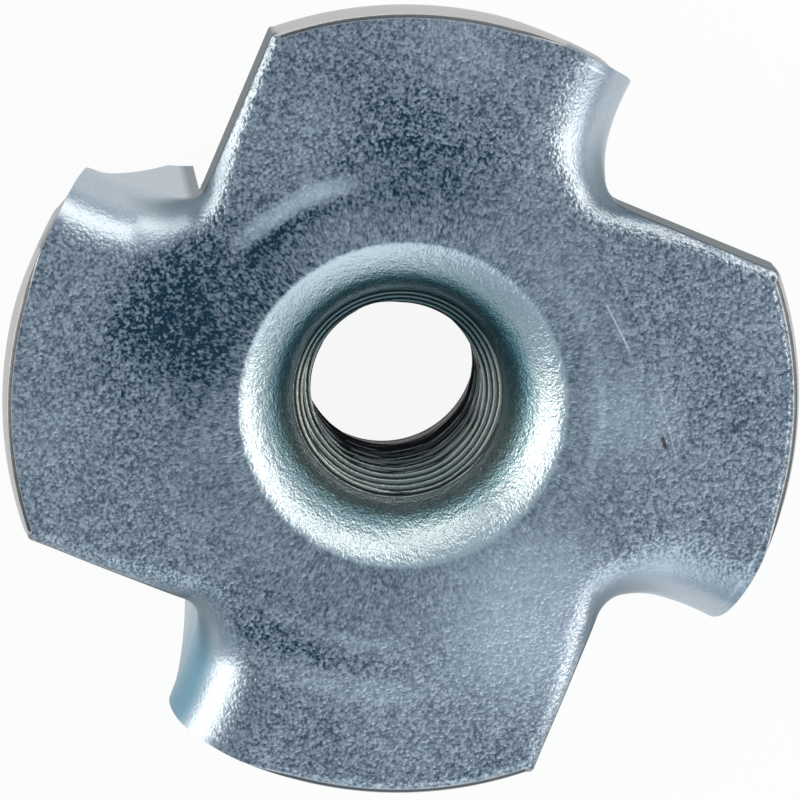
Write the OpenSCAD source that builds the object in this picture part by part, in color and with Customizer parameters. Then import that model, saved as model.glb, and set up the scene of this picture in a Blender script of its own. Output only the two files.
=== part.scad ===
// Four-prong drive-in tee nut, stamped and drawn from one round sheet-steel blank.
// The barrel stands on z = 0 with its axis on Z, and the flange is on top.
// Each lobe is cut free along a shear edge, and its other side is folded down as a prong.
// Millimetres.

/* [Thread] */
// Nominal thread diameter
thread_d = 4; // [3.5:0.1:4.4]
// Thread pitch, which sets the size of the bore before tapping
thread_pitch = 0.7; // [0.5:0.05:0.9]

/* [Sheet and flange] */
// Overall height, barrel end to flange face
height = 6; // [5.6:0.1:9]
// Flange diameter, which is also the blank's
flange_d = 15; // [14.6:0.1:16]
// Sheet thickness
sheet = 1.2; // [1:0.05:1.35]
// How far the upper half of the rim slopes in
rim_slope = 0.08; // [0.04:0.01:0.15]
// How far the rim slopes in below that, down to where the prongs begin
rim_under = 0.25; // [0.15:0.05:0.35]

/* [Neck and barrel] */
// Outside diameter of the barrel
barrel_d = 5.4; // [5:0.1:6]
// Radius down which the sheet turns into the barrel at the mouth
mouth_r = 1.45; // [1.4:0.05:1.6]
// Depth below the flange face at which the mouth stands upright
mouth_depth = 1.4; // [1.2:0.05:1.4]
// Radius under the flange, at the foot of the barrel
neck_r = 0.3; // [0.2:0.05:0.5]
// How much the bore opens at the barrel's free end, on the radius
bell = 0.15; // [0.05:0.01:0.25]
// Length of that opening
bell_len = 0.9; // [0.5:0.1:1.2]
// Bevel round the outside of the barrel's free end
end_bevel = 0.15; // [0.05:0.05:0.3]

/* [Prongs] */
// Distance from the axis to each shear edge
shear_offset = 5; // [4.85:0.05:5.15]
// Direction that the first lobe's shear edge faces
shear_facing = 67; // [0:1:89]
// Radius inside each fold
fold_r = 0.4; // [0.3:0.05:0.5]
// Plan radius of the curved line along which each prong folds
fold_plan_r = 4.25; // [4:0.05:4.5]
// How far along the lobe that curved line crowns
fold_crown = 6.65; // [6.5:0.05:6.85]
// How far the flat of a lobe reaches past its own radial line, where the fold line crowns
fold_out = 0.1; // [0:0.05:0.2]
// Outward lean of the prongs
lean = 1.5; // [0.5:0.5:5]
// How far each prong runs on under the root of its notch
tab = 0.45; // [0.35:0.05:0.5]
// Depth of the prong tips below the flange face
prong_depth = 4.4; // [4:0.1:5]
// Blunt width of a prong's tip
tip_w = 0.4; // [0.2:0.05:0.5]
// Width of the prong at its shoulder, where the outer edge turns up to the rim
shoulder_w = 1.35; // [1.2:0.05:1.6]
// Depth of that shoulder below the flange face
shoulder_depth = 1.85; // [1.75:0.05:2.2]

/* [Edges] */
// Radius in the root of each notch
notch_r = 0.5; // [0.4:0.05:0.6]
// Radius of each lobe's outer corner, in plan
corner_r = 0.25; // [0.15:0.05:0.35]
// Roll-over radius along the shear edges
roll_r = 0.35; // [0.2:0.05:0.45]

/* [Hidden] */
prongs = 4;
flange_r = flange_d / 2;
bore_r = (thread_d - 1.0825 * thread_pitch) / 2;
major_r = thread_d / 2;
lead_top = height - mouth_depth;
barrel_r = barrel_d / 2;
under = height - sheet;
out_r = sheet + fold_r;
lap = 0.4;
zinc = "#8496a8";
// Facets a turn, in plan and in the small section radii
$fn = 96;
fine = 32;

// Centre of the curved fold line. Here +X faces out of the neighbour's shear edge,
// and y = 0 is the lobe's own radial line on the side where it folds.
fold_c = [fold_crown, -(fold_out + out_r + fold_plan_r)];
// Centre of the notch's root radius, which touches the shear edge and the fold line
root_x = shear_offset + notch_r;
root_c = [root_x, fold_c[1] + sqrt(pow(fold_plan_r - notch_r, 2) - pow(root_x - fold_c[0], 2))];
// The fold runs from the root of the notch out past the rim
root_angle = atan2(root_c[1] - fold_c[1], root_c[0] - fold_c[0]);
axis_dist = norm(fold_c);
axis_angle = atan2(-fold_c[1], -fold_c[0]);
rim_cos = (pow(fold_plan_r, 2) + pow(axis_dist, 2) - pow(flange_r, 2)) / (2 * fold_plan_r * axis_dist);
rim_angle = axis_angle - acos(rim_cos);
past_rim = rim_angle - 16;
tab_angle = tab / fold_plan_r * 180 / PI;

function on_fold(angle, r) = fold_c + r * [cos(angle), sin(angle)];
fold_start = on_fold(root_angle, fold_plan_r);
fold_end = on_fold(rim_angle, fold_plan_r);

// Half section of the neck and of the sheet, which is trimmed to the rim later
module neck_section() {
    difference() {
        union() {
            translate([0, end_bevel]) square([barrel_r, height - end_bevel]);
            polygon([[0, 0], [barrel_r - end_bevel, 0], [barrel_r, end_bevel], [0, end_bevel]]);
            translate([0, under]) square([flange_r + 1, sheet]);
            translate([0, under - neck_r]) square([barrel_r + neck_r, neck_r + sheet / 2]);
        }
        translate([barrel_r + neck_r, under - neck_r]) circle(neck_r, $fn = fine);
        translate([-1, -1]) square([1 + bore_r, height + 2]);
        difference() {
            translate([0, lead_top]) square([major_r + mouth_r, mouth_depth + 1]);
            translate([major_r + mouth_r, lead_top]) circle(mouth_r, $fn = 48);
        }
        polygon([[0, lead_top], [major_r, lead_top], [0, lead_top - major_r]]);
        translate([0, -1]) square([bore_r + bell, 1 + bell_len]);
        polygon([[0, bell_len], [bore_r + bell, bell_len], [0, bell_len + bore_r + bell]]);
    }
}

// Half section of everything inside the rim, which slopes in over its upper half
module rim_section() {
    polygon([
        [0, -1], [flange_r - rim_under, -1], [flange_r - rim_under, height - out_r],
        [flange_r, height - sheet / 2 - 0.1], [flange_r, height - sheet / 2],
        [flange_r - rim_slope, height], [flange_r - rim_slope, height + 1], [0, height + 1]
    ]);
}

// Plan of one notch: inside the fold line and beyond the shear edge, with its root rounded
module notch_plan() {
    difference() {
        intersection() {
            translate(fold_c) circle(fold_plan_r);
            translate([shear_offset, -20]) square([20, 20]);
        }
        polygon([root_c, [shear_offset, root_c[1]], [shear_offset, 0], fold_start]);
    }
    translate(root_c) circle(notch_r);
}

// Plan of the band taken up by the fold
module fold_plan() {
    intersection() {
        difference() {
            translate(fold_c) circle(fold_plan_r + out_r + lap / 2);
            translate(fold_c) circle(fold_plan_r - 1);
        }
        polygon([fold_c, on_fold(past_rim, 20), on_fold(root_angle, 20)]);
    }
}

// Plan of the sliver taken off a lobe's outer corner
module corner_plan() {
    x = shear_offset - corner_r;
    c = [x, -sqrt(pow(flange_r - corner_r, 2) - pow(x, 2))];
    tip = [shear_offset, -sqrt(pow(flange_r, 2) - pow(shear_offset, 2))];
    difference() {
        polygon([c, [shear_offset + 1, c[1]], 1.2 * tip, c * 1.1 * flange_r / (flange_r - corner_r)]);
        translate(c) circle(1.04 * corner_r, $fn = fine);
    }
}

// Section of what the roll-over takes off an edge that stands at x = 0
module roll_section(r) {
    bite = 0.03 * r;
    translate([bite - r, height - r + bite]) difference() {
        square([r + 0.2, r + 1]);
        circle(r, $fn = fine);
    }
}

// The roll-over along one shear edge and on round the root of the notch
module edge_roll() {
    translate([shear_offset, root_c[1], 0]) rotate([90, 0, 0]) linear_extrude(6) roll_section(roll_r);
    translate([root_c[0], root_c[1], 0]) rotate_extrude(angle = 184 - root_angle, start = root_angle - 2)
        translate([notch_r, 0]) mirror([1, 0]) roll_section(1.1 * roll_r);
}

// Plan of what is taken off the prong where it runs on under the sheet past the root of the notch,
// so that the sheet's underside is clear there
module tab_plan() {
    set_back = out_r - sqrt(pow(out_r, 2) - pow(fold_r, 2)) + 0.02;
    intersection() {
        translate(fold_c) circle(fold_plan_r + set_back);
        polygon([fold_c, on_fold(root_angle - 0.4, 9), on_fold(root_angle + 20, 9)]);
    }
}

// Section of the sheet through a fold: a strip of the flat, the bend and the prong below it
module fold_section() {
    bend = [fold_plan_r + out_r, height - out_r];
    translate([bend[0], under]) square([lap, sheet]);
    intersection() {
        translate(bend) difference() {
            circle(out_r, $fn = 48);
            circle(fold_r, $fn = fine);
        }
        translate(bend) polygon([[0, 0], [0, 3], [-3, 3], [-3, 3 * tan(lean)]]);
    }
    translate(bend) rotate(-lean) translate([-out_r, -prong_depth]) square([sheet, prong_depth]);
}

// Side view of a prong, along its chord and down from the flange face
module prong_outline() {
    chord = norm(fold_end - fold_start);
    polygon([
        [-5, -5], [chord + 5, -5], [chord + 5, out_r - 0.2], [chord, out_r - 0.2],
        [shoulder_w, shoulder_depth], [tip_w, prong_depth], [-5, prong_depth]
    ]);
}

// One fold with its prong
module prong() {
    along = fold_end - fold_start;
    intersection() {
        difference() {
            translate([fold_c[0], fold_c[1], 0])
                rotate_extrude(angle = root_angle + tab_angle - past_rim, start = past_rim) fold_section();
            translate([0, 0, -1]) linear_extrude(height + 2) tab_plan();
        }
        translate([fold_start[0], fold_start[1], height]) rotate([0, 0, atan2(along[1], along[0])])
            rotate([-90, 0, 0]) linear_extrude(10, center = true) prong_outline();
    }
}

module tee_nut() {
    color(zinc) intersection() {
        union() {
            difference() {
                rotate_extrude() neck_section();
                for (k = [0 : prongs - 1]) rotate([0, 0, shear_facing - 90 + 360 / prongs * k]) {
                    translate([0, 0, under - 1]) linear_extrude(sheet + 2) {
                        notch_plan();
                        fold_plan();
                        corner_plan();
                    }
                    edge_roll();
                }
            }
            for (k = [0 : prongs - 1]) rotate([0, 0, shear_facing - 90 + 360 / prongs * k]) prong();
        }
        rotate_extrude() rim_section();
    }
}

tee_nut();
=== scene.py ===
# %% [markdown]
# # A pressed tee nut
# A tee nut is one piece of sheet steel. A press draws a short barrel out of the middle of a round
# blank, cuts four notches into the rim, and folds one flank of each lobe down into a prong that
# bites into wood. A tap then cuts a thread in the barrel, and the nut is plated with blue zinc.
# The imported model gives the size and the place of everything, so it is loaded first.

import math

import bmesh
import bpy
import numpy as np
from mathutils import Matrix, Vector


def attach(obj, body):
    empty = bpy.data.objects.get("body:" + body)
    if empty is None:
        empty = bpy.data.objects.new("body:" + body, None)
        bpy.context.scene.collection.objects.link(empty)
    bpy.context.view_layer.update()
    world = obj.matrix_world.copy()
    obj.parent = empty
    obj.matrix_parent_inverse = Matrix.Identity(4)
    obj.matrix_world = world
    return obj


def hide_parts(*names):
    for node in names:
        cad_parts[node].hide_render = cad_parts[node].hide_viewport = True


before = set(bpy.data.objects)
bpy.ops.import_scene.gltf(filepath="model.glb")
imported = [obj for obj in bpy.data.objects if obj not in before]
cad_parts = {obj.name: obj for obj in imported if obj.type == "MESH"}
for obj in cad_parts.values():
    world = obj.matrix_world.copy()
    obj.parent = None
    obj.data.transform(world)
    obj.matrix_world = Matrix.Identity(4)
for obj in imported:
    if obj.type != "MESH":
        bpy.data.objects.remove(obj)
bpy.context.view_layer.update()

# %% [markdown]
# ## The sizes
# A press tool is described by a few lengths, and the same few describe the part. They could be measured
# off the imported mesh, but its vertices don't say which one is the end of a bend. So the named lengths
# of the part's source are repeated here, in millimetres.

# %% Sizes, in millimetres
HEIGHT = 6.0
SHEET = 1.2
RIM_R = 7.5
RIM_SLOPE = 0.08
RIM_UNDERCUT = 0.12
UNDERSIDE = HEIGHT - SHEET
MINOR_R, MAJOR_R, PITCH = 1.6211, 2.0, 0.7
MOUTH_DEPTH = 1.4
BARREL_R, NECK_FILLET = 2.7, 0.3
BELL, BELL_DEPTH, END_BEVEL = 0.15, 0.9, 0.15
SHEAR_LINE = 5.0
FIRST_TURN = 67.0 - 90.0
BEND_IN = 0.4
BEND_OUT = SHEET + BEND_IN
FOLD_R = 4.25
FOLD_CENTRE = np.array([6.65, -(0.1 + BEND_OUT + FOLD_R)])
LEAN = math.radians(1.5)
TIP_DEPTH, TIP_WIDTH = 4.4, 0.06
SHOULDER_DEPTH, SHOULDER_WIDTH = 1.85, 1.35
ROOT_R, CORNER_R, TAB = 0.5, 0.25, 0.45
LOBES = 4
print("sheet", SHEET, "mm, outside of the bends", BEND_OUT, "mm")


# %% [markdown]
# ## Small tools
# Every shape below is written as arrays of points: a direction for an angle, a ramp that eases in
# and out, and a turn about the axis. NumPy works on all the points at once, which is both faster
# and shorter than a loop.

# %% Small tools
def towards(angle):
    """Unit vectors at these angles: (cosine, sine)."""
    return np.stack([np.cos(angle), np.sin(angle)], -1)


def ease(x, low, high):
    """0 below low, 1 above high, and 3 t^2 - 2 t^3 between them."""
    t = np.clip((x - low) / (high - low), 0, 1)
    return t * t * (3 - 2 * t)


def turned(points, degrees):
    """Points turned about the bore's axis."""
    c, s = math.cos(math.radians(degrees)), math.sin(math.radians(degrees))
    return points @ np.array([[c, s, 0], [-s, c, 0], [0, 0, 1]])


def lifted(plan, height):
    """Plan points given a height."""
    return np.concatenate([plan, np.full(plan.shape[:-1] + (1,), height)], -1)


def strip(start, end, steps):
    """Straight rows between two lines of points: start + (end - start) t, with steps intervals."""
    t = np.linspace(0, 1, steps + 1)[:, None]
    return start[:, None] + (end - start)[:, None] * t


# %% [markdown]
# ## Where the fold lies
# Seen from above, each notch has a straight side, where the shear cut the metal, and a curved side,
# where the metal was folded down. The curved side is an arc about a centre outside the rim. A
# small root radius joins the two, so that the sheet doesn't tear there. All four notches are alike,
# so one is worked out, with its straight side on the line x = SHEAR_LINE, and then turned.

# %% Plan of one notch
ROOT = np.array([SHEAR_LINE + ROOT_R, 0.0])
ROOT[1] = FOLD_CENTRE[1] + math.sqrt((FOLD_R - ROOT_R) ** 2 - (ROOT[0] - FOLD_CENTRE[0]) ** 2)
ROOT_ANGLE = math.atan2(*(ROOT - FOLD_CENTRE)[::-1])
TAB_ANGLE = ROOT_ANGLE + TAB / FOLD_R
AXIS_ANGLE = math.atan2(-FOLD_CENTRE[1], -FOLD_CENTRE[0])
AXIS_DISTANCE = math.hypot(*FOLD_CENTRE)
FLANK_BEGINS = BEND_OUT - 0.2


def angle_at_rim(radius, rim):
    """Angle about the fold's centre where a circle of this radius meets the rim, by the cosine rule."""
    cosine = (radius**2 + AXIS_DISTANCE**2 - rim**2) / (2 * radius * AXIS_DISTANCE)
    return AXIS_ANGLE - np.arccos(np.clip(cosine, -1, 1))


RIM_ANGLE = angle_at_rim(FOLD_R, RIM_R)
FOLD_START = FOLD_CENTRE + FOLD_R * towards(ROOT_ANGLE)
FOLD_END = FOLD_CENTRE + FOLD_R * towards(RIM_ANGLE)
CHORD = math.hypot(*(FOLD_END - FOLD_START))
ALONG = (FOLD_END - FOLD_START) / CHORD
print("chord of the fold", round(CHORD, 3), "mm")


def angle_at_flank(radius, depth):
    """Angle about the fold's centre of the prong's slanting flank, which stands ever nearer the root
    as the depth grows: at the full chord, then at the shoulder, then at the tip."""
    depths = [FLANK_BEGINS, SHOULDER_DEPTH, TIP_DEPTH]
    reach = np.interp(depth, depths, [CHORD, SHOULDER_WIDTH, TIP_WIDTH])
    offset = (FOLD_CENTRE - FOLD_START) @ ALONG
    return math.atan2(ALONG[1], ALONG[0]) + np.arccos(np.clip((reach - offset) / radius, -1, 1))


def leaves_root(angle):
    """The point where a ray from the fold's centre leaves the root radius: the far root of the
    quadratic that a ray and a circle give."""
    turn = angle - ROOT_ANGLE
    far = (FOLD_R - ROOT_R) * np.cos(turn)
    far = far + np.sqrt(np.maximum(ROOT_R**2 - ((FOLD_R - ROOT_R) * np.sin(turn)) ** 2, 0))
    return FOLD_CENTRE + far[..., None] * towards(angle)


# %% [markdown]
# ## How the top edge turns down
# The punch drags the top of the sheet down before it cuts, so a sheared edge is rolled over by about
# a third of a millimetre and then breaks off at a corner. The rim was cut from flat sheet, and its
# roll is half of that. A folded edge turns all the way down, by the outside radius of the bend. Each
# runs into the next. Here the edge has a width and a last angle, and both ease from the one kind to
# the other with the distance walked along it.

# %% Section of the turned-down edge
SHEAR_ROLL, NEAR_ROOT_ROLL, RIM_ROLL = 0.32, 0.60, 0.15
SHEAR_END, FOLD_END_ANGLE = math.radians(46), math.pi / 2 - LEAN
# Stretches of the walk over which the width and the angle change, in mm from the root and, for
# ROUND_CORNER, in mm from the lobe's outer corner.
TOWARDS_ROOT, TOWARDS_FOLD, ANGLE_TURNS = (-2.6, -0.8), (-0.8, 0.8), (-1.2, 0.5)
ROUND_CORNER = (-0.35, 0.55)


def edge_roll(walked, to_corner):
    """Radius and last angle of the rolled edge, by the distance walked from the root (negative on
    the sheared side) and the distance left to the lobe's outer corner."""
    width = SHEAR_ROLL + (NEAR_ROOT_ROLL - SHEAR_ROLL) * ease(walked, *TOWARDS_ROOT)
    width = width + (BEND_OUT - NEAR_ROOT_ROLL) * ease(walked, *TOWARDS_FOLD)
    width = RIM_ROLL + (width - RIM_ROLL) * ease(to_corner, *ROUND_CORNER)
    last = SHEAR_END + (FOLD_END_ANGLE - SHEAR_END) * ease(walked, *ANGLE_TURNS)
    return width / np.sin(last), last


def roll_section(radius, last):
    """Offset and height round the roll: radius (sin a - sin last) and top - radius (1 - cos a)."""
    a = np.linspace(0, 1, ROLL_ROWS + 1) * last[:, None]
    offset = radius[:, None] * (np.sin(a) - np.sin(last)[:, None])
    return offset, HEIGHT - radius[:, None] * (1 - np.cos(a))


# %% [markdown]
# ## One surface, counted in rows and columns
# The skin is a set of grids. A column crosses the part: over the flat from the mouth, round the
# rolled edge and down the wall. The columns walk along the edge of one lobe. The counts are set so
# that neighbouring grids share their border points, and the merged mesh has no gap.

# %% Rows and columns
TOP_ROWS, ROLL_ROWS, WALL_ROWS, BLADE_ROWS, INSIDE_ROWS = 10, 12, 5, 12, 8
INNER_BLADE_ROWS = ROLL_ROWS + WALL_ROWS + BLADE_ROWS - INSIDE_ROWS
SHELF_ROWS, UNDER_ROWS = 4, 5
TAB_COLS, FOLD_COLS, RIM_COLS, CORNER_COLS, SHEAR_COLS, ROOT_COLS = 6, 36, 42, 10, 28, 20
LOBE_COLS = TAB_COLS + FOLD_COLS + RIM_COLS + CORNER_COLS + SHEAR_COLS + ROOT_COLS
PRONG_COLS = TAB_COLS + FOLD_COLS
FIRST_SPOKE = -14.0
spokes = np.radians(FIRST_SPOKE + 360.0 / LOBES * np.arange(LOBE_COLS + 1) / LOBE_COLS)
print(LOBE_COLS * LOBES, "columns round the part")


# %% [markdown]
# ## The cut edge of a lobe
# From the end of a fold the edge follows the rim, turns a small corner, runs straight back along
# the shear line and round the root of the next notch. Each part of the path is an arc or a line, so
# its points and the directions that face outwards are known without any fitting. The wall under it
# is a shear cut: the upper half stands nearly upright and the lower half breaks away inwards. Beside
# a fold the rim's roll dies out and its wall takes the section of the bent metal, so that the two
# meet without a step.

# %% The cut edge of a lobe
ROLL_STARTS, WALL_STARTS = (-0.25, 1.2), (0, 1.5)
DRAG_DEPTHS, TIP_DRAG = (0.6, 1.6), 0.10
SHELF_WIDTH, SHELF_OPENS, SHELF_TURNS = 1.2, (0, 0.15), (0.8, 1)
BEYOND_CORNER = -1.0


def edge_path():
    """Points along the cut edge, their outward directions, the distance from the root, and how much
    of each point belongs to the rim."""
    meet = FOLD_CENTRE + (FOLD_R + BEND_OUT) * towards(angle_at_rim(FOLD_R + BEND_OUT, RIM_R))
    side = SHEAR_LINE - CORNER_R
    corner = np.array([math.sqrt((RIM_R - CORNER_R) ** 2 - side**2), side])
    begin, turn_in = math.atan2(meet[1], meet[0]), math.atan2(corner[1], corner[0])
    rim_at = np.linspace(begin, turn_in, RIM_COLS + 1)[:-1]
    corner_at = np.linspace(turn_in, math.pi / 2, CORNER_COLS + 1)[:-1]
    root = np.array([-ROOT[1], ROOT[0]])
    straight = np.linspace(corner[0], root[0], SHEAR_COLS + 1)[:-1]
    tab = leaves_root(np.array([TAB_ANGLE]))[0]
    turn_out = math.atan2(tab[0] - root[1], -tab[1] - root[0])
    turn_out -= 2 * math.pi * (turn_out > -math.pi / 2)
    root_at = np.linspace(-math.pi / 2, turn_out, ROOT_COLS + 1)
    points = np.concatenate([
        RIM_R * towards(rim_at),
        corner + CORNER_R * towards(corner_at),
        np.stack([straight, np.full_like(straight, SHEAR_LINE)], -1),
        root + ROOT_R * towards(root_at),
    ])
    outward = np.concatenate([
        towards(rim_at), towards(corner_at), np.tile([0.0, 1.0], (SHEAR_COLS, 1)), -towards(root_at)
    ])
    walked = np.concatenate([[0], np.cumsum(np.hypot(*np.diff(points, axis=0).T))])
    start, tab = FOLD_START - ROOT, tab - ROOT
    beyond = ROOT_R * abs(math.atan2(tab[1], tab[0]) - math.atan2(start[1], start[0]))
    rim_share = np.concatenate([
        np.ones(RIM_COLS), 1 - ease(np.arange(CORNER_COLS) / CORNER_COLS, 0, 1),
        np.zeros(SHEAR_COLS + ROOT_COLS + 1),
    ])
    return points, outward, walked - walked[-1] - beyond, rim_share


walk = edge_path()[2]
print("a cut edge:", len(walk), "points,", round(walk[-1] - walk[0], 2), "mm long")

# %% [markdown]
# ## From the edge to its surfaces
# Three grids hang on that path: the flat up to it, the roll and wall below it, and a shelf that runs
# back under the sheet. They could be one long grid, but the shelf would then be folded back through
# sharp corners. Apart, each is a smooth sheet, and they share the points where they meet.

# %% Grids along the cut edge
def cut_edge(ring):
    """Grids of the flat, the rolled edge with its wall, and the shelf under the wall. The wall's
    offset is slope x (2 depth - 1) in its upper half and -undercut x (2 depth - 1)^2 in its lower."""
    points, outward, walked, rim_share = edge_path()
    to_corner = np.where(rim_share > 0.999, BEYOND_CORNER, walked - walked[RIM_COLS + CORNER_COLS])
    radius, last = edge_roll(walked, to_corner)
    radius = radius * ease(walked - walked[0], *ROLL_STARTS)
    offset, height = roll_section(radius, last)
    offset = offset - (RIM_SLOPE * rim_share)[:, None]
    down = np.linspace(0, 1, WALL_ROWS + 1)[1:]
    wall_height = height[:, -1:] + (UNDERSIDE - height[:, -1:]) * down
    depth = (HEIGHT - wall_height) / SHEET
    slope = np.where(depth < 0.5, RIM_SLOPE * (2 * depth - 1), -RIM_UNDERCUT * (2 * depth - 1) ** 2)
    like_flank = RIM_SLOPE * (4 * depth * (1 - depth) - 1) - TIP_DRAG * ease(SHEET, *DRAG_DEPTHS) * depth
    slope = slope + (like_flank - slope) * (1 - ease(walked - walked[0], *WALL_STARTS))[:, None]
    offset = np.concatenate([offset, rim_share[:, None] * slope], 1)
    height = np.concatenate([height, wall_height], 1)
    plan = points[:, None] + outward[:, None] * offset[..., None]
    wall = np.concatenate([plan, height[..., None]], -1)
    foot = wall[:, -1, :2]
    share = np.linspace(0, 1, len(points))
    inner_corner = FOLD_CENTRE + (FOLD_R + BEND_OUT) * towards(TAB_ANGLE)
    inner_corner = np.array([-inner_corner[1], inner_corner[0]])
    shelf_end = foot - outward * (SHELF_WIDTH * ease(share, *SHELF_OPENS))[:, None]
    blend = ease(share, *SHELF_TURNS)[:, None]
    shelf_end = shelf_end * (1 - blend) + inner_corner * blend
    top = lifted(strip(ring, wall[:, 0, :2], TOP_ROWS), HEIGHT)
    return top, wall, lifted(strip(foot, shelf_end, SHELF_ROWS), UNDERSIDE)


# %% [markdown]
# ## The fold and its prong
# The bend is a quarter turn carried along the arc of the fold, and the prong is the flat metal below
# it. The prong narrows to a point, and it has to end on the rim at the top and on its slanting flank
# lower down. So every point is placed by its distance from the fold's centre and by its share of the
# angle between the root and that limit. The same map serves the outer and the inner face.

# %% Sections through the fold
def on_prong(share, offset, height):
    """Points at a share of the way from the root to the limit, at FOLD_R - offset from the centre.
    The limit is the rim, which is dragged in a little round the bend, or the flank, if that is nearer."""
    radius = FOLD_R - offset
    depth = HEIGHT - height
    limit = angle_at_rim(radius, RIM_R - RIM_SLOPE - TIP_DRAG * ease(depth, *DRAG_DEPTHS))
    limit = np.where(depth > FLANK_BEGINS, np.maximum(limit, angle_at_flank(radius, depth)), limit)
    angle = ROOT_ANGLE + (limit - ROOT_ANGLE) * share
    return np.concatenate([FOLD_CENTRE + radius[..., None] * towards(angle), height[..., None]], -1)


def outer_section(walked):
    """Offset and height down the outer face: the roll, then a straight run to the end of the full
    bend, then the leaning blade down to the tip."""
    far_from_corner = np.full_like(walked, ROUND_CORNER[1] + 1)
    offset, height = roll_section(*edge_roll(walked, far_from_corner))
    top, out = height[:, -1:], offset[:, -1:]
    bend_end = HEIGHT - BEND_OUT + BEND_OUT * math.sin(LEAN)
    bend_out = -BEND_OUT * (1 - math.cos(LEAN))
    wall_end = np.minimum(top - 1e-4, UNDERSIDE)
    wall = top + (wall_end - top) * np.linspace(0, 1, WALL_ROWS + 1)[1:]
    blade = wall_end + (HEIGHT - TIP_DEPTH - wall_end) * np.linspace(0, 1, BLADE_ROWS + 1)[1:]
    below = np.concatenate([wall, blade], 1)
    led = np.clip((top - below) / np.maximum(top - bend_end, 1e-6), 0, 1)
    leaning = bend_out + (bend_end - below) * math.tan(LEAN)
    run = np.where(below > bend_end, out + (bend_out - out) * led, leaning)
    return np.concatenate([offset, run], 1), np.concatenate([height, below], 1)


def inner_section():
    """Offset and height up the inner face, from the tip to the end of the inside of the bend."""
    bend_start = HEIGHT - BEND_OUT + BEND_IN * math.sin(LEAN)
    tip = HEIGHT - TIP_DEPTH
    height = tip + (bend_start - tip) * np.linspace(0, 1, INNER_BLADE_ROWS + 1)
    offset = -BEND_OUT + BEND_IN * math.cos(LEAN) + (bend_start - height) * math.tan(LEAN)
    a = np.linspace(math.pi / 2 - LEAN, 0, INSIDE_ROWS + 1)[1:]
    return (np.concatenate([offset, -BEND_OUT + BEND_IN * np.sin(a)]),
            np.concatenate([height, HEIGHT - BEND_OUT + BEND_IN * np.cos(a)]))


print("rows down the outer face:", outer_section(np.zeros(1))[0].shape[1])
print("rows up the inner face:", len(inner_section()[0]))

# %% [markdown]
# ## From the sections to the prong
# The first few columns of a fold lie on the root radius, where the sheared side begins. There the
# section starts square to the root and ends square to the fold, because the bend twists the metal.
# A weight that eases with the height carries it from the one direction to the other.

# %% Grids of the fold and its prong
TWIST = (UNDERSIDE - 0.25, UNDERSIDE + 0.15)


def fold_and_prong(ring):
    """Grids of the flat beside the fold, the prong's outer face and its inner face."""
    tab_at = TAB_ANGLE + (ROOT_ANGLE - TAB_ANGLE) * np.arange(TAB_COLS) / TAB_COLS
    share = np.linspace(0, 1, FOLD_COLS + 1)[:, None]
    tab = leaves_root(tab_at)
    start = FOLD_START - ROOT
    swing = np.arctan2(tab[:, 1] - ROOT[1], tab[:, 0] - ROOT[0]) - math.atan2(start[1], start[0])
    walked = np.concatenate([-ROOT_R * np.abs(swing), share[:, 0] * (ROOT_ANGLE - RIM_ANGLE) * FOLD_R])
    offset, height = outer_section(walked)
    facing = (ROOT - tab) / ROOT_R
    on_root = tab[:, None] + facing[:, None] * offset[:TAB_COLS, :, None]
    on_ray = FOLD_CENTRE + (FOLD_R - offset[:TAB_COLS])[..., None] * towards(tab_at)[:, None]
    upper = ease(height[:TAB_COLS], *TWIST)[..., None]
    tab_part = np.concatenate([on_root * upper + on_ray * (1 - upper), height[:TAB_COLS, :, None]], -1)
    outer = np.concatenate([tab_part, on_prong(share, offset[TAB_COLS:], height[TAB_COLS:])])
    in_offset, in_height = (np.tile(v, (FOLD_COLS + 1, 1)) for v in inner_section())
    radius = FOLD_R - in_offset[:TAB_COLS]
    tab_part = np.concatenate(
        [FOLD_CENTRE + radius[..., None] * towards(tab_at)[:, None], in_height[:TAB_COLS, :, None]], -1)
    inner = np.concatenate([tab_part, on_prong(share, in_offset, in_height)])
    return lifted(strip(ring, outer[:, 0, :2], TOP_ROWS), HEIGHT), outer, inner


# %% [markdown]
# ## The drawn neck and its thread
# The rest is round: the mouth, where the sheet turns down into the barrel, the tapped bore, the
# barrel's end and its outside. A profile carried round the axis gives all of it. The thread is a
# helix, so its depth depends on the height and the angle together: the profile's radius is pushed
# out by a triangle wave of height / pitch - angle / turn, cut flat at crest and root. The punch that
# opened the mouth stopped at the flat, so the mouth's arc doesn't run out smoothly: it meets the flat
# at a low crease, which shows as the edge of the burnished ring.

# %% The drawn neck and its thread
BORE_ROWS, LEAD_ROWS, MOUTH_ROWS = 52, 6, 30
FILLET_ROWS, SIDE_ROWS, BELL_ROWS, END_CHAMFER = 6, 4, 5, 0.05
MOUTH_EDGE_R = 3.085
MOUTH_CHORD = math.hypot(MOUTH_EDGE_R - MAJOR_R, MOUTH_DEPTH)
MOUTH_LEAN = math.atan2(MOUTH_EDGE_R - MAJOR_R, MOUTH_DEPTH)
MOUTH_BEND = math.radians(26.2)
MOUTH_ARC_R = MOUTH_CHORD / (2 * math.sin(MOUTH_BEND))
MOUTH_RING_R = MOUTH_EDGE_R + 0.05
CREASE_SOFTENING = (0.012, 0.004)
THREAD_STARTS = (0.7, 1.3)
THREAD_CUT = 0.125


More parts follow.
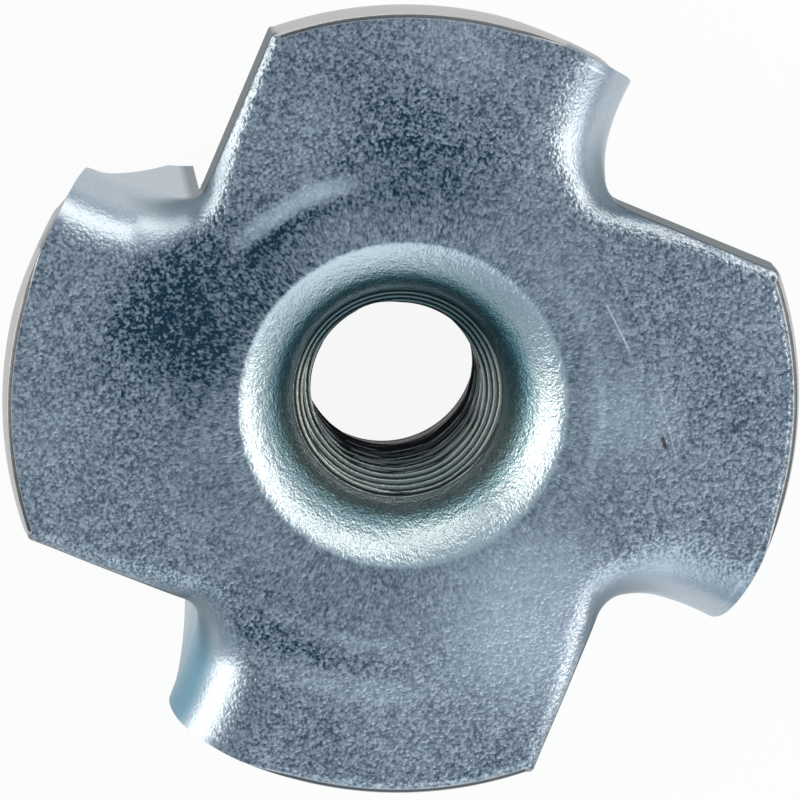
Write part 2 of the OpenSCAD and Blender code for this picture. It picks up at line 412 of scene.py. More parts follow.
def neck_profile():
    """Radius and height from the fillet under the sheet, down the barrel and up through the bore. The
    mouth is an arc between two known points, so its radius is chord / (2 sin(half its bend))."""
    a = np.linspace(math.pi / 2, math.pi, FILLET_ROWS + 1)
    outside, fillet_z = BARREL_R + NECK_FILLET, UNDERSIDE - NECK_FILLET
    fillet = np.stack([outside + NECK_FILLET * np.cos(a), fillet_z + NECK_FILLET * np.sin(a)], -1)
    side = np.linspace(fillet_z, END_BEVEL, SIDE_ROWS + 1)[1:]
    barrel = np.stack([np.full(SIDE_ROWS, BARREL_R), side], -1)
    bell_r = MINOR_R + BELL
    end = np.array([[BARREL_R - END_BEVEL, 0], [(BARREL_R + bell_r) / 2, 0],
                    [bell_r + END_CHAMFER, 0], [bell_r, END_CHAMFER]])
    bell = np.linspace(END_CHAMFER, BELL_DEPTH, BELL_ROWS + 1)[1:]
    bell = np.stack([np.full(BELL_ROWS, bell_r), bell], -1)
    lead_top = HEIGHT - MOUTH_DEPTH
    up = np.linspace(BELL_DEPTH, lead_top - (MAJOR_R - MINOR_R), BORE_ROWS + 1)[1:]
    bore = np.stack([MINOR_R + np.maximum(BELL_DEPTH + BELL - up, 0), up], -1)
    lead = np.linspace(MINOR_R, MAJOR_R, LEAD_ROWS + 1)[1:]
    lead = np.stack([lead, lead_top - MAJOR_R + lead], -1)
    first = MOUTH_LEAN - MOUTH_BEND
    a = np.linspace(first, MOUTH_LEAN + MOUTH_BEND, MOUTH_ROWS + 1)[1:]
    mouth = np.stack([MAJOR_R + MOUTH_ARC_R * (math.cos(first) - np.cos(a)),
                      lead_top + MOUTH_ARC_R * (np.sin(a) - math.sin(first))], -1)
    mouth[-1, 1] -= CREASE_SOFTENING[0]
    crease = np.array([[mouth[-1, 0] + 0.02, HEIGHT - CREASE_SOFTENING[1]], [MOUTH_RING_R, HEIGHT]])
    outside_rows = len(fillet) + len(barrel) + len(end)
    return np.concatenate([fillet, barrel, end, bell, bore, lead, mouth, crease]), outside_rows


# %% The neck as a surface
def neck(angles):
    """The turned surface as a grid of columns. Inside, radius = the larger of profile and thread, and
    the thread is a wave from 0 to 1 with an eighth cut off at both ends."""
    profile, outside_rows = neck_profile()
    r, z = (np.tile(profile[:, i:i + 1], (1, len(angles))) for i in (0, 1))
    wave = 1 - np.abs(2 * ((z / PITCH - angles / (2 * math.pi)) % 1.0) - 1)
    groove = np.clip((wave - THREAD_CUT) / (1 - 2 * THREAD_CUT), 0, 1) * ease(z, *THREAD_STARTS)
    groove = (MAJOR_R - MINOR_R) * groove
    inside = np.arange(len(profile))[:, None] >= outside_rows
    r = np.where(inside & (z < HEIGHT - MOUTH_DEPTH), np.maximum(r, MINOR_R + groove), r)
    return np.stack([r * np.cos(angles), r * np.sin(angles), z], -1).transpose(1, 0, 2)


# %% [markdown]
# ## Joining the grids
# The grids are computed once for a lobe and turned four times. Their shared borders are set to the
# very same points, so merging by distance closes the skin. The narrow end faces of a prong are a
# ladder of rungs at its flank and one flat many-sided face at its sheared side. The flank swells
# like the rim's wall, which it carries on round the bend.

# %% One lobe's grids
ring = MOUTH_RING_R * towards(spokes)
neck_ring = (BARREL_R + NECK_FILLET) * towards(spokes)
fold_top, outer, inner = fold_and_prong(ring[:PRONG_COLS + 1])
edge_top, wall, shelf = cut_edge(ring[PRONG_COLS:])

wall[0, 0], edge_top[0] = outer[-1, 0], fold_top[-1]
edge_top[-1] = turned(fold_top[0], 90)
wall[-1] = turned(outer[0], 90)[:ROLL_ROWS + WALL_ROWS + 1]
wall[0, -1] = inner[-1, -1]
shelf[-1] = strip(wall[-1:, -1], turned(inner[0, -1:], 90), SHELF_ROWS)[0]
shelf[0] = inner[-1, -1]

rungs = ((HEIGHT - wall[0, :, 2]) / SHEET)[:, None]
tip = outer[:, -1, None] + (inner[:, 0] - outer[:, -1])[:, None] * rungs
flank = outer[-1][:, None] + (inner[-1, ::-1] - outer[-1])[:, None] * rungs
SWELL_FADES = (1.0, 1.9)
swell = 4 * rungs * (1 - rungs) * RIM_SLOPE * (1 - ease(HEIGHT - outer[-1, :, 2:], *SWELL_FADES))[:, None]
flank[..., :2] += towards(np.arctan2(flank[..., 1], flank[..., 0])) * swell
flank[0], flank[:, 0], flank[:, -1] = wall[0], outer[-1], inner[-1, ::-1]
under_fold = lifted(strip(inner[:, -1, :2], neck_ring[:PRONG_COLS + 1], UNDER_ROWS), UNDERSIDE)
under_edge = lifted(strip(shelf[:, -1, :2], neck_ring[PRONG_COLS:], UNDER_ROWS), UNDERSIDE)
lobe_grids = {
    "fold_top": fold_top, "outer": outer, "tip": tip, "inner": inner, "under_fold": under_fold,
    "edge_top": edge_top, "wall": wall, "shelf": shelf, "under_edge": under_edge, "flank": flank,
}
points_in_lobe = sum(g.shape[0] * g.shape[1] for g in lobe_grids.values())
print("grids in a lobe:", len(lobe_grids), "points:", points_in_lobe)

# %% [markdown]
# ## Where the metal was cut
# The finish needs to know a cut wall from a face, and neither height nor radius tells them apart. So
# the mesh carries two weights: "cut" for the walls that the punch sheared and "rim" for the wall
# round the blank. They could be painted by hand, but the grids already say which wall is which.

# %% Weights for the finish
def painted(name, value=0.0, rows=slice(None), columns=1.0):
    """A weight for each point of a grid: the value on some of its rows, times a share by column."""
    weight = np.zeros(lobe_grids[name].shape[:2])
    weight[:, rows] = value
    return weight * np.reshape(columns, (-1, 1))


rim_share = edge_path()[3]
below_roll, rim_rows = slice(ROLL_ROWS, None), slice(ROLL_ROWS - 7, None)
beside_shear = np.interp(np.arange(PRONG_COLS + 1), [0, 2, 4], [1, 1, 0])
marks = {
    "cut": {
        "outer": painted("outer", 0.7, slice(ROLL_ROWS + 2, None), beside_shear),
        "tip": painted("tip", 1),
        "wall": painted("wall", 1, below_roll, 1 - rim_share),
        "flank": painted("flank", 0.4),
    },
    "rim": {"wall": painted("wall", 1, rim_rows, rim_share), "flank": painted("flank", 0.6)},
}
for mark, parts in marks.items():
    print(mark, "is set on", ", ".join(parts))

# %% [markdown]
# ## Four lobes and a neck become one skin
# The sheared side of a prong is flat, so one face with many corners fills it. Everything else is a
# grid. A lobe's grids are turned four times, the neck is added, and points that lie on each other
# become one. The result has no open edge, and its volume is printed to show that it is a solid.

# %% The whole skin as one mesh
sheared_side = np.concatenate([
    outer[0, ROLL_ROWS + WALL_ROWS:], tip[0, 1:-1], inner[0], turned(shelf[-1], -90)[::-1][1:]
])


def grid_faces(rows, cols, first):
    """Four corners for each cell of a grid stored row by row."""
    corner = first + np.arange(rows - 1)[:, None] * cols + np.arange(cols - 1)
    return np.stack([corner, corner + 1, corner + cols + 1, corner + cols], -1).reshape(-1, 4)


def whole_skin():
    """Points in metres, faces and weights of all lobes and the neck, not merged yet."""
    lobe_starts = np.arange(LOBES)[:, None] * 2 * math.pi / LOBES
    all_angles = np.append((spokes[:-1] + lobe_starts).ravel(), spokes[0] + 2 * math.pi)
    grids = [turned(g, FIRST_TURN + 90 * k) for k in range(LOBES) for g in lobe_grids.values()]
    grids.append(neck(all_angles + math.radians(FIRST_TURN)))
    points, faces, count = [], [], 0
    for g in grids:
        points.append(g.reshape(-1, 3))
        faces += grid_faces(g.shape[0], g.shape[1], count).tolist()
        count += g.shape[0] * g.shape[1]
    for k in range(LOBES):
        points.append(turned(sheared_side, FIRST_TURN + 90 * k))
        faces.append(list(range(count, count + len(sheared_side))))
        count += len(sheared_side)
    weights = {}
    for mark, parts in marks.items():
        on_lobe = [parts.get(name, painted(name)).ravel() for name in lobe_grids]
        on_neck = np.zeros(grids[-1].shape[0] * grids[-1].shape[1])
        on_sides = np.full(LOBES * len(sheared_side), 1.0 if mark == "cut" else 0.0)
        weights[mark] = np.concatenate(on_lobe * LOBES + [on_neck, on_sides])
    return np.concatenate(points) / 1000, faces, weights


# %% One closed mesh
def merged_mesh(name, points, faces, weights, gap):
    """A closed mesh: points nearer than gap become one, and the faces are turned outwards. The weights
    sit on the faces' corners, so two grids that share a point can still differ there."""
    mesh = bpy.data.meshes.new(name)
    mesh.from_pydata(points, [], faces)
    corner_points = np.empty(len(mesh.loops), dtype=np.int32)
    mesh.loops.foreach_get("vertex_index", corner_points)
    for mark, values in weights.items():
        per_corner = values[corner_points].astype(np.float32)
        mesh.attributes.new(mark, "FLOAT", "CORNER").data.foreach_set("value", per_corner)
    work = bmesh.new()
    work.from_mesh(mesh)
    bmesh.ops.remove_doubles(work, verts=work.verts, dist=gap)
    bmesh.ops.dissolve_degenerate(work, dist=gap / 10, edges=work.edges)
    bmesh.ops.recalc_face_normals(work, faces=work.faces)
    if work.calc_volume(signed=True) < 0:
        bmesh.ops.reverse_faces(work, faces=work.faces)
    open_edges = sum(1 for e in work.edges if len(e.link_faces) != 2)
    print(name, "volume, mm3:", round(work.calc_volume(signed=True) * 1e9, 2), "open edges:", open_edges)
    work.to_mesh(mesh)
    work.free()
    return mesh


# %% The tee nut
MERGE_GAP = 2e-8
skin = merged_mesh("tee_nut_skin", *whole_skin(), MERGE_GAP)
tee_nut = bpy.data.objects.new("pressed_tee_nut", skin)
bpy.context.scene.collection.objects.link(tee_nut)
skin.polygons.foreach_set("use_smooth", np.ones(len(skin.polygons), dtype=bool))
SHARP_ANGLE = math.radians(38)
with bpy.context.temp_override(object=tee_nut, active_object=tee_nut, selected_objects=[tee_nut],
                               selected_editable_objects=[tee_nut]):
    bpy.ops.object.shade_smooth_by_angle(angle=SHARP_ANGLE)
print("triangles:", sum(len(p.vertices) - 2 for p in skin.polygons))
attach(tee_nut, "root")
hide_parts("tee_nut")


# %% [markdown]
# ## A short way to write shader maths
# A material is a graph of nodes. Adding and linking each one by hand hides the idea behind the
# wiring, so a small class wraps one output socket. Arithmetic on it adds Math nodes, and one
# function adds every other kind of node: its type, its settings, then what goes into its sockets.

# %% Shader values as Python expressions
class Field:
    """A number that changes over the surface. + - * / and ** on it add Math nodes."""

    def __init__(self, tree, socket):
        self.tree, self.socket = tree, socket

    def _math(self, operation, a, b):
        return node(self.tree, "ShaderNodeMath", {"operation": operation}, {0: a, 1: b})

    def __add__(self, other):
        return self._math("ADD", self, other)

    def __sub__(self, other):
        return self._math("SUBTRACT", self, other)

    def __rsub__(self, other):
        return self._math("SUBTRACT", other, self)

    def __mul__(self, other):
        return self._math("MULTIPLY", self, other)

    def __truediv__(self, other):
        return self._math("DIVIDE", self, other)

    def __pow__(self, other):
        return self._math("POWER", self, other)

    __radd__, __rmul__ = __add__, __mul__


# %% Nodes in one line
def node(tree, kind, settings=None, inputs=None, output=0):
    """Adds a node, sets its settings, then its sockets' values or links, and returns one output."""
    made = tree.nodes.new(kind)
    for key, value in (settings or {}).items():
        setattr(made, key, value)
    for key, value in (inputs or {}).items():
        if isinstance(value, Field):
            tree.links.new(value.socket, made.inputs[key])
        else:
            made.inputs[key].default_value = value
    return Field(tree, made.outputs[output])


def between(value, low, high, start=0.0, end=1.0):
    """The value mapped smoothly from low..high onto start..end, and held there outside."""
    settings = {"interpolation_type": "SMOOTHSTEP"}
    return node(value.tree, "ShaderNodeMapRange", settings,
                {"Value": value, "From Min": low, "From Max": high, "To Min": start, "To Max": end})


def mixed(share, first, second):
    """A colour between two others."""
    return node(share.tree, "ShaderNodeMix", {"data_type": "RGBA"}, {0: share, 6: first, 7: second}, 2)


def noise(tree, at, size_mm, detail, roughness, seed):
    """Noise with features of about this size, from 0 to 1. A fourth coordinate serves as the seed."""
    return node(tree, "ShaderNodeTexNoise", {"noise_dimensions": "4D"}, {
        "Vector": at, "W": seed, "Scale": 1000.0 / size_mm, "Detail": detail, "Roughness": roughness})


# %% [markdown]
# ## The blue zinc finish
# Bright zinc with a blue passivate is a metal, so its colour is the colour of its reflection. The
# plating grows as fine grains, which catch the light one by one. A grain could be painted on, but
# then it wouldn't change with the light. Here it is mostly a bump, and the colour and the roughness
# follow the same grains. Every part of the finish is placed by where a point lies on the nut, so the
# finish stays put when the camera moves.

# %% Places on the part
NOT_ZERO = 0.000001


def band(value, first, last, start=0.0, end=1.0):
    """The same as between, with the two limits in millimetres: start at first, end at last."""
    return between(value, first / 1000, last / 1000, start, end)


def stripe(value, begins, ends):
    """1 between two bands and 0 beyond them: their product."""
    return band(value, *begins) * band(value, *ends)


def plan_distance(x, y, at_x, at_y):
    """Distance seen from above to a place given in millimetres: the root of dx^2 + dy^2."""
    return ((x - at_x / 1000) ** 2 + (y - at_y / 1000) ** 2) ** 0.5


# %% [markdown]
# ## Pale and dark areas
# The flange is slightly dished, so from place to place its flat mirrors brighter and darker parts of the
# room, and the punch leaves faint rings that catch the light on one edge and fall into shade on the
# other. Both are painted into the colour here, as painted reflections and painted light and shade. Noise
# alone would put such areas anywhere. The larger ones are listed instead, as soft spots and soft arcs,
# and noise only makes their edges wander. A grain is picked out less where the metal is pale and more
# where it is dark.

# %% Painted reflections on the flat
# Painted reflections: pale and dark spots and arcs that stand in for the dished flat mirroring the room
# and for the light and shade of the punch rings.
PAINTED_REFLECTION_SPOTS = [
    # x, y and reach in mm, change of paleness
    (-3.3, 2.3, 2.6, -0.24),
    (-4.6, 1.2, 1.9, -0.12),
    (0.4, 4.9, 2.2, -0.19),
    (4.3, -0.3, 1.5, 0.20),
    (2.5, -4.2, 2.5, 0.38),
    (6.4, 0.0, 1.6, -0.05),
    (0.2, -5.4, 2.0, 0.08),
    (1.0, 6.6, 1.3, 0.12),
    (-6.9, -0.4, 1.2, 0.06),
    (-2.6, -4.2, 1.3, -0.06),
]
PAINTED_LIGHT_ARCS = [
    # radius in mm, middle and half spread in degrees, half width in mm, change of paleness
    (4.38, 119, 21, 0.26, 0.42),
    (4.00, 120, 24, 0.22, -0.16),
    (5.50, 257, 24, 0.34, 0.14),
    (5.02, 256, 24, 0.30, -0.07),
    (4.60, 250, 24, 0.18, 0.10),
    (3.72, 10, 55, 0.16, 0.10),
    (4.62, 12, 34, 0.10, -0.08),
]
WANDER_REACH = 0.0016
print(len(PAINTED_REFLECTION_SPOTS), "soft spots and", len(PAINTED_LIGHT_ARCS), "arcs on the flat")


def painted_reflections(x, y, radius, wander):
    """The change of paleness: for each spot, a smooth fall with the distance from it, and for each
    arc, a smooth fall across it times a smooth fall along it."""
    total = wander * 0.0
    for at_x, at_y, reach, change in PAINTED_REFLECTION_SPOTS:
        away = plan_distance(x, y, at_x, at_y) + (wander - 0.5) * WANDER_REACH
        total = total + band(away, reach, reach / 5, 0.0, change)
    for ring_r, middle, spread, half, change in PAINTED_LIGHT_ARCS:
        middle, spread = math.radians(middle), math.radians(spread)
        across = ((radius - ring_r / 1000) ** 2) ** 0.5
        ahead = (x * math.cos(middle) + y * math.sin(middle)) / radius
        window = between(ahead, math.cos(spread), math.cos(spread * 0.3))
        total = total + band(across, half, half / 5) * window * change
    return total


# %% [markdown]
# ## Shade at the roots
# Where a fold begins, the sheet was bent most sharply, and there the bend mirrors something dark. That
# dark reflection is painted into the colour as shade. A lamp's shadow alone would leave that corner as
# bright as the rest of the bend. A soft spot of painted shade round each root, worked out from the same
# plan as the shape, keeps the dark place and the corner together.

# %% Shade at the roots of the notches
ROOT_SHADE_REACH = (1.3, 0.4)


def root_painted_shade(x, y):
    """1 near the root of each notch, where the bent metal stands in its own shade."""
    total = x * 0.0
    for k in range(LOBES):
        root_x, root_y, _ = turned(np.array([*ROOT, 0.0]), FIRST_TURN + 90 * k)
        total = total + band(plan_distance(x, y, root_x, root_y), *ROOT_SHADE_REACH)
    return total


# %% [markdown]
# ## Scratches
# Nuts rub against each other in the barrel. A few thin pale lines and one brown speck lie on the
# flat. Each is a straight line with soft ends, so a whole stroke costs only a few nodes.

# %% Scratches
PALE, BROWN = (0.92, 0.95, 0.97, 1), (0.10, 0.07, 0.05, 1)
SCRATCHES = [
    # start x, y, end x, y and half width in mm, colour, share
    (3.74, 2.02, 4.34, 0.80, 0.032, PALE, 0.8),
    (4.75, 0.45, 5.20, -1.35, 0.022, PALE, 0.5),
    (5.30, 0.95, 5.05, -0.30, 0.018, PALE, 0.5),
    (1.35, 5.6, 2.25, 4.4, 0.018, PALE, 0.35),
    (-5.9, -0.9, -4.9, -1.6, 0.020, PALE, 0.35),
    (4.84, -0.60, 4.96, -0.94, 0.060, BROWN, 0.9),
]
print(len(SCRATCHES), "scratches and specks")


def scratch(x, y, line):
    """1 along a thin straight line, 0 beside it. With u along the line and v across it, the mark is
    where |v| is small and u is between the ends."""
    x0, y0, x1, y1, half = (v / 1000 for v in line)
    length = math.hypot(x1 - x0, y1 - y0)
    ux, uy = (x1 - x0) / length, (y1 - y0) / length
    along = (x - x0) * ux + (y - y0) * uy
    across = (((x - x0) * uy - (y - y0) * ux) ** 2) ** 0.5
    inside = between(along, 0, length * 0.2) * between(along, length, length * 0.7)
    return between(across, half, half * 0.2) * inside


def scratched(body, x, y):
    """The colour with each scratch mixed in by its share."""
    for *line, colour, share in SCRATCHES:
        body = mixed(scratch(x, y, line) * share, body, colour)
    return body


# %% [markdown]
# ## Grain
# One noise makes the grains and a coarser one gathers them into clumps. Round the mouth the sheet
# was stretched outwards, and the grains with it. Noise can't be stretched along a radius by scaling
# it, because that direction turns. So that noise is read on a drum: the place round the axis, and a
# height that grows with the radius.

# %% Grain of the plating
DRAWN_GRAIN, FINE_GRAIN, CLUMP, DRIFT = 0.062, 0.058, 0.16, 2.4
DRUM_R = 0.0046
STRETCHED = (5.2, 3.6)


def grains(tree, at, x, y, z, radius):
    """Three noises from 0 to 1: the grain, its clumps, and a slow drift over the whole part."""
    drum = node(tree, "ShaderNodeCombineXYZ", {}, {
        0: x / radius * DRUM_R, 1: y / radius * DRUM_R, 2: radius * 0.6 + z * 0.8})
    drawn = noise(tree, drum, DRAWN_GRAIN, 1.5, 0.5, 1.0)
    fine = noise(tree, at, FINE_GRAIN, 1.5, 0.5, 2.0)
    clumps = noise(tree, at, CLUMP, 2.0, 0.55, 4.0)
    drift = noise(tree, at, DRIFT, 3.0, 0.5, 3.0)
    return fine + (drawn - fine) * band(radius, *STRETCHED) * 0.6, clumps, drift


# %% [markdown]
# ## Colours of the faces
# The flat runs between a dark and a pale zinc. The mouth and the bends slid over the tools, so they are
# burnished: paler, and with the grain nearly gone. Deep in the mouth lies a teal ring, darker as painted
# shade on the far side and paler as painted light on the near side, and one prong carries a blue film.
# All of this is mixed over the flat's colour, each with its own share, so one material covers the piece
# and no border can open between two.

# %% Colour of the flat, the mouth and the bends
DARK_ZINC, PALE_ZINC = (0.022, 0.062, 0.095, 1), (0.86, 0.92, 0.97, 1)
BURNISHED_MOUTH, BURNISHED_BEND = (0.66, 0.76, 0.77, 1), (0.495, 0.57, 0.63, 1)
TEAL_PAINTED_SHADE, TEAL_PAINTED_LIGHT = (0.13, 0.39, 0.49, 1), (0.84, 0.95, 0.91, 1)
BLUE_FILM, ROOT_SHADE = (0.17, 0.35, 0.45, 1), (0.04, 0.09, 0.12, 1)
MIDDLE_PALENESS, GRAIN_CONTRAST, LESS_WHERE_PALE, DRIFT_CONTRAST = 0.37, 0.52, 0.7, 0.25
MOUTH_SHARE, TEAL_SHARE, BEND_SHARE, FILM_SHARE, SHADE_SHARE = 0.65, 0.85, 0.75, 0.9, 0.8
# Each pair is where an area begins and where it is full: a radius, a height or a distance in mm, and for
# the side of the teal ring that takes painted light, a direction round the axis, as y / radius.
TEAL_RADII, TEAL_HEIGHTS, PAINTED_LIGHT_FROM = (2.62, 2.28), (4.55, 4.62), (0.4, -0.9)
FILM_X, FILM_Y, FILM_REACH = -4.3, -5.0, (2.0, 0.8)
FILM_HEIGHTS, SHADE_HEIGHTS = ((5.6, 5.2), (2.6, 4.4)), (4.8, 5.3)


def face_colour(x, y, z, radius, bend, mouth, fleck, drift):
    """Dark zinc + (pale - dark) x paleness, where paleness = middle + grain + drift + the painted
    reflections. Then the burnished and filmed places, the teal ring with its painted light and shade, and
    the painted shade at the roots are mixed over it."""
    # The painted reflections of the flat, left off the bends.
    change = painted_reflections(x, y, radius, drift) * (1 - bend)
    grain = (fleck - 0.5) * (GRAIN_CONTRAST - change * LESS_WHERE_PALE)
    body = mixed(MIDDLE_PALENESS + grain + (drift - 0.5) * DRIFT_CONTRAST + change, DARK_ZINC, PALE_ZINC)
    body = mixed(mouth * MOUTH_SHARE, body, BURNISHED_MOUTH)
    # The teal ring deep in the mouth: painted shade on the far side, painted light on the near side.
    teal = band(radius, *TEAL_RADII) * band(z, *TEAL_HEIGHTS)
    painted_light_side = between(y / radius, *PAINTED_LIGHT_FROM)
    body = mixed(teal * TEAL_SHARE, body, mixed(painted_light_side, TEAL_PAINTED_SHADE, TEAL_PAINTED_LIGHT))
    body = mixed(bend * BEND_SHARE, body, BURNISHED_BEND)
    film = band(plan_distance(x, y, FILM_X, FILM_Y), *FILM_REACH) * stripe(z, *FILM_HEIGHTS)
    body = mixed(film * FILM_SHARE, body, BLUE_FILM)
    # Painted shade round the root of each fold.
    return mixed(root_painted_shade(x, y) * bend * band(z, *SHADE_HEIGHTS) * SHADE_SHARE, body, ROOT_SHADE)


# %% [markdown]
# ## Cut walls and the bore
# A sheared wall is torn metal, and here it is coloured duller and browner than a face. Just under the top
# of each wall runs a dark line of painted shade. The weights set on the mesh say where such walls are.
# The tapped bore carries painted shade that deepens downwards and turns teal on its far side, with fine
# rings from the tool.

# %% Colour of the cut walls and of the bore
SHEARED, RIM_WALL, PAINTED_EDGE_SHADE = (0.10, 0.13, 0.14, 1), (0.55, 0.54, 0.53, 1), (0.04, 0.05, 0.06, 1)
RING_DARK, RING_PALE = (0.14, 0.17, 0.16, 1), (0.50, 0.52, 0.48, 1)
BORE_PAINTED_SHADE, FAR_SIDE_PAINTED_SHADE = (0.03, 0.03, 0.035, 1), (0.06, 0.13, 0.15, 1)
RING_RADIANS = 52000
BORE_SHADE_HEIGHTS, PAINTED_SHADE_SIDE = (3.6, 1.4), (0.1, 0.7)
CUT_LINE, RIM_LINE = ((5.70, 5.80), (5.98, 5.94)), ((5.945, 5.955), (5.990, 5.982))
print("tool rings", round(2000 * math.pi / RING_RADIANS, 3), "mm apart")


def with_walls(body, z, cut, rim):
    """The colour with its cut walls, and a line of painted shade just under the top of each wall."""
    body = mixed(cut, body, SHEARED)
    body = mixed(rim, body, RIM_WALL)
    # Painted shade: a dark line along the top of each cut wall and of the rim.
    line = cut * stripe(z, *CUT_LINE) + rim * stripe(z, *RIM_LINE)
    return mixed(line * 0.85, body, PAINTED_EDGE_SHADE)


def tool_rings(tree, z, radius, drift):
    """A sine of the radius and the height, from -1 to 1, which wavers a little with the drift."""
    angle = (radius + z * 0.35) * RING_RADIANS + drift * 6
    return node(tree, "ShaderNodeMath", {"operation": "SINE"}, {0: angle})


def bore_colour(y, z, radius, rings):
    """Ringed metal with painted shade that deepens with the depth, and teal painted shade on the far
    side.
    """
    rings_and_shade = mixed(rings * 0.5 + 0.5, RING_DARK, RING_PALE)
    # Painted shade, deeper towards the end of the bore.
    rings_and_shade = mixed(band(z, *BORE_SHADE_HEIGHTS), rings_and_shade, BORE_PAINTED_SHADE)
    # Painted shade on the far side of the bore, in teal.
    return mixed(between(y / radius, *PAINTED_SHADE_SIDE) * 0.8, rings_and_shade, FAR_SIDE_PAINTED_SHADE)


# %% [markdown]
# ## The finish put together
# The functions above are joined in one material. Its colour, roughness and bump all come from the
# same grain, so a pale grain is also a raised one. The bump is small: the folds, rolls and threads
# are real geometry, and it carries only what is finer than the mesh.

# %% The finish
BUMP_DEPTH = 0.00002
BURNISHED_GRAIN = 0.62
GRAIN_SHARES, GRAIN_RANGE = (0.8, 0.2), (0.31, 0.69)
BEND_HEIGHTS, BEND_RADII = (5.99, 5.74), (3.2, 3.4)
MOUTH_RADII, MOUTH_HEIGHTS = (3.15, 3.05), (4.5, 4.7)
BORE_HEIGHTS, BORE_RADII = (4.68, 4.60), (2.3, 2.02)
RUBBED_RIM = (7.22, 7.30)
POLISH, FLECK_ROUGH, CUT_ROUGH, RIM_ROUGH, BORE_ROUGH = 0.27, 0.06, 0.15, 0.12, 0.1


def blue_zinc():
    """Plated steel: colour by height and radius, and grain in colour, roughness and bump."""
    material = bpy.data.materials.new("blue_zinc")
    material.use_nodes = True
    tree = material.node_tree
    shader = tree.nodes["Principled BSDF"]
    at = node(tree, "ShaderNodeTexCoord", {}, {}, "Object")
    x, y, z = (node(tree, "ShaderNodeSeparateXYZ", {}, {0: at}, i) for i in range(3))
    radius = (x * x + y * y) ** 0.5 + NOT_ZERO
    cut, rim = (node(tree, "ShaderNodeAttribute", {"attribute_name": name}, {}, "Fac") for name in marks)
    bend = band(z, *BEND_HEIGHTS) * band(radius, *BEND_RADII)
    mouth = band(radius, *MOUTH_RADII) * band(z, *MOUTH_HEIGHTS)
    inside = band(z, *BORE_HEIGHTS) * band(radius, *BORE_RADII)
    grain, clumps, drift = grains(tree, at, x, y, z, radius)
    fleck = between(grain * GRAIN_SHARES[0] + clumps * GRAIN_SHARES[1], *GRAIN_RANGE)
    fleck = fleck + (BURNISHED_GRAIN - fleck) * (bend * 0.7 + mouth * 0.3) * 0.8
    rings = tool_rings(tree, z, radius, drift)
    body = face_colour(x, y, z, radius, bend, mouth, fleck, drift)
    body = scratched(with_walls(body, z, cut, rim), x, y)
    body = mixed(inside, body, bore_colour(y, z, radius, rings))
    tree.links.new(body.socket, shader.inputs["Base Color"])
    rough = POLISH + fleck * FLECK_ROUGH + cut * CUT_ROUGH + rim * RIM_ROUGH + inside * BORE_ROUGH
    tree.links.new(rough.socket, shader.inputs["Roughness"])
    shader.inputs["Metallic"].default_value = 1.0
    height = (grain + clumps * 0.9) * (1 - bend * 0.72) * (1 - band(radius, *RUBBED_RIM) * 0.7)
    height = height + rings * inside * 0.5
    bump = node(tree, "ShaderNodeBump", {}, {"Height": height, "Strength": 1.0, "Distance": BUMP_DEPTH})
    tree.links.new(bump.socket, shader.inputs["Normal"])
    print("nodes in the finish:", len(tree.nodes))
    return material


skin.materials.append(blue_zinc())

# %% [markdown]
# ## Studio
# The nut stands on the end of its barrel on a pale floor. The camera looks down on it from almost
# straight above. A metal shows what is around it, so its flat face mirrors the dim room overhead. The
# floor looks white to the camera and, more weakly, in reflections, and the room only to the camera.
# Real white walls would do that too, but they would also flood the part with light.

# %% Floor
WHITE, FLOOR_GREY, ROOM_BLUE = (1.0, 1.0, 1.0, 1.0), (0.9, 0.9, 0.9, 1), (0.66, 0.80, 0.95, 1)
FLOOR_SEEN, FLOOR_MIRRORED, ROOM_STRENGTH = 0.92, 0.68, 0.58


def pale_floor(half=0.6):
    """A square floor at height 0, white to the camera and in reflections, that keeps a soft shadow."""
    mesh = bpy.data.meshes.new("floor")
    corners = [(-half, -half, 0.0), (half, -half, 0.0), (half, half, 0.0), (-half, half, 0.0)]
    mesh.from_pydata(corners, [], [(0, 1, 2, 3)])
    floor = bpy.data.objects.new("floor", mesh)
    bpy.context.scene.collection.objects.link(floor)
    material = bpy.data.materials.new("pale_floor")
    material.use_nodes = True
    tree = material.node_tree
    shader = tree.nodes["Principled BSDF"]
    shader.inputs["Base Color"].default_value = FLOOR_GREY
    shader.inputs["Roughness"].default_value = 0.9
    seen = node(tree, "ShaderNodeLightPath", {}, {}, "Is Camera Ray")
    mirrored = node(tree, "ShaderNodeLightPath", {}, {}, "Is Glossy Ray")
    glow = node(tree, "ShaderNodeEmission", {}, {"Color": WHITE, "Strength": 1.0})
    share = seen * FLOOR_SEEN + mirrored * FLOOR_MIRRORED
    lit = Field(tree, shader.outputs[0])
    joined = node(tree, "ShaderNodeMixShader", {}, {0: share, 1: lit, 2: glow})
    tree.links.new(joined.socket, tree.nodes["Material Output"].inputs["Surface"])
    mesh.materials.append(material)
    return floor


# %% Room
def room():
    """A dim blue-grey room for the light, and white for the camera."""
    world = bpy.data.worlds.new("room")
    world.use_nodes = True
    tree = world.node_tree
    tree.nodes.clear()
    seen = node(tree, "ShaderNodeLightPath", {}, {}, "Is Camera Ray")
    dim = node(tree, "ShaderNodeBackground", {}, {"Color": ROOM_BLUE, "Strength": ROOM_STRENGTH})
    white = node(tree, "ShaderNodeBackground", {}, {"Color": WHITE, "Strength": 1.0})
    joined = node(tree, "ShaderNodeMixShader", {}, {0: seen, 1: dim, 2: white})
    out = tree.nodes.new("ShaderNodeOutputWorld")
    tree.links.new(joined.socket, out.inputs["Surface"])
    bpy.context.scene.world = world


pale_floor()
room()
print("room strength", ROOM_STRENGTH)

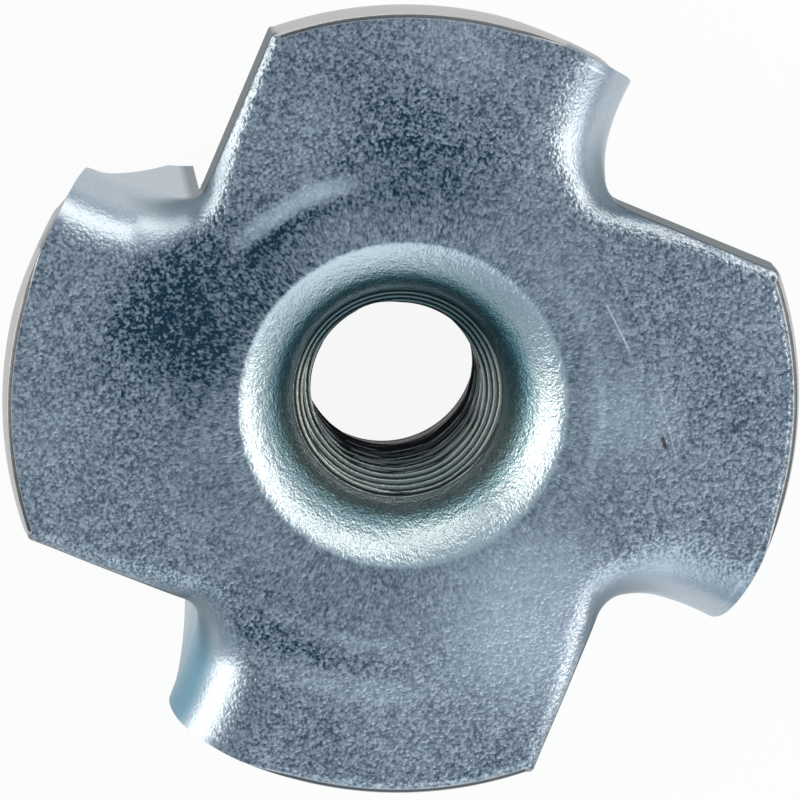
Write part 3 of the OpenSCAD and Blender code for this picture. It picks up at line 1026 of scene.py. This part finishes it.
# %% [markdown]
# ## Lamps
# A bend shows a lamp as a bright band, at the place where the surface leans halfway between the lamp
# and the eye. So each lamp is placed for the bands that it should give: low for a band far down a
# bend, wide for a long one. Four small warm lamps give the folds and the sheared edges their bands,
# and a large weak one lights the far side of the mouth and the edges that face it.

# %% Soft lamps
LAMP_DISTANCE = 0.09
WARM_WHITE, COOL_WHITE = (1.0, 0.93, 0.85), (0.95, 0.98, 1.0)
LAMPS = [
    # name, azimuth and elevation in degrees, width and height in metres, radiance, colour
    ("right_lamp", 4, 30, 0.095, 0.045, 2.40, WARM_WHITE),
    ("far_right_lamp", 64, 28, 0.050, 0.035, 2.25, WARM_WHITE),
    ("far_lamp", 104, 12, 0.064, 0.036, 1.75, WARM_WHITE),
    ("left_lamp", 172, 21, 0.080, 0.054, 2.50, WARM_WHITE),
    ("near_lamp", 290, 32, 0.095, 0.095, 0.70, COOL_WHITE),
]


def soft_lamp(name, azimuth, elevation, width, height, radiance, colour):
    """A rectangle of light that faces the part. Azimuth 0 is +X and 90 is +Y. Its power is radiance
    x pi x area, so a surface that mirrors radiance 1 looks white."""
    lamp = bpy.data.lights.new(name, "AREA")
    lamp.shape, lamp.size, lamp.size_y = "RECTANGLE", width, height
    lamp.energy, lamp.color = radiance * math.pi * width * height, colour
    thing = bpy.data.objects.new(name, lamp)
    a, e = math.radians(azimuth), math.radians(elevation)
    place = Vector((math.cos(a) * math.cos(e), math.sin(a) * math.cos(e), math.sin(e))) * LAMP_DISTANCE
    thing.location = place + Vector((0, 0, HEIGHT / 1000))
    thing.rotation_euler = (-place).to_track_quat("-Z", "Y").to_euler()
    bpy.context.scene.collection.objects.link(thing)


for lamp_line in LAMPS:
    soft_lamp(*lamp_line)
print(len(LAMPS), "lamps,", LAMP_DISTANCE * 1000, "mm from the flat")

# %% [markdown]
# ## Camera
# A long lens keeps the four lobes alike. The camera leans 11 degrees from the axis, mostly towards
# +Y, so the walls on that side can be seen. The focal length follows from the width in view at the
# height of the flat: sensor x distance / width.

# %% Camera
CAMERA_FROM = Vector((-0.0665, 0.1826, 0.9809)).normalized()
CAMERA_DISTANCE, WIDTH_IN_VIEW, SENSOR_WIDTH = 0.18107, 0.01497258146, 36.0
camera_data = bpy.data.cameras.new("camera")
camera_data.sensor_width = SENSOR_WIDTH
camera_data.lens = SENSOR_WIDTH * CAMERA_DISTANCE / WIDTH_IN_VIEW
camera_data.shift_x, camera_data.shift_y = -0.0048, 0.0083
camera_data.clip_start, camera_data.clip_end = 0.01, 5.0
camera_data.dof.use_dof = False
camera = bpy.data.objects.new("camera", camera_data)
camera.location = Vector((0, 0, HEIGHT / 1000)) + CAMERA_FROM * CAMERA_DISTANCE
right = Vector((0, 1, 0)).cross(CAMERA_FROM).normalized()
up = CAMERA_FROM.cross(right)
camera.rotation_mode = "QUATERNION"
camera.rotation_quaternion = Matrix((right, up, CAMERA_FROM)).transposed().to_quaternion()
bpy.context.scene.collection.objects.link(camera)
bpy.context.scene.camera = camera
bpy.context.scene.view_settings.view_transform = "Standard"
print("lens", round(camera_data.lens, 1), "mm")
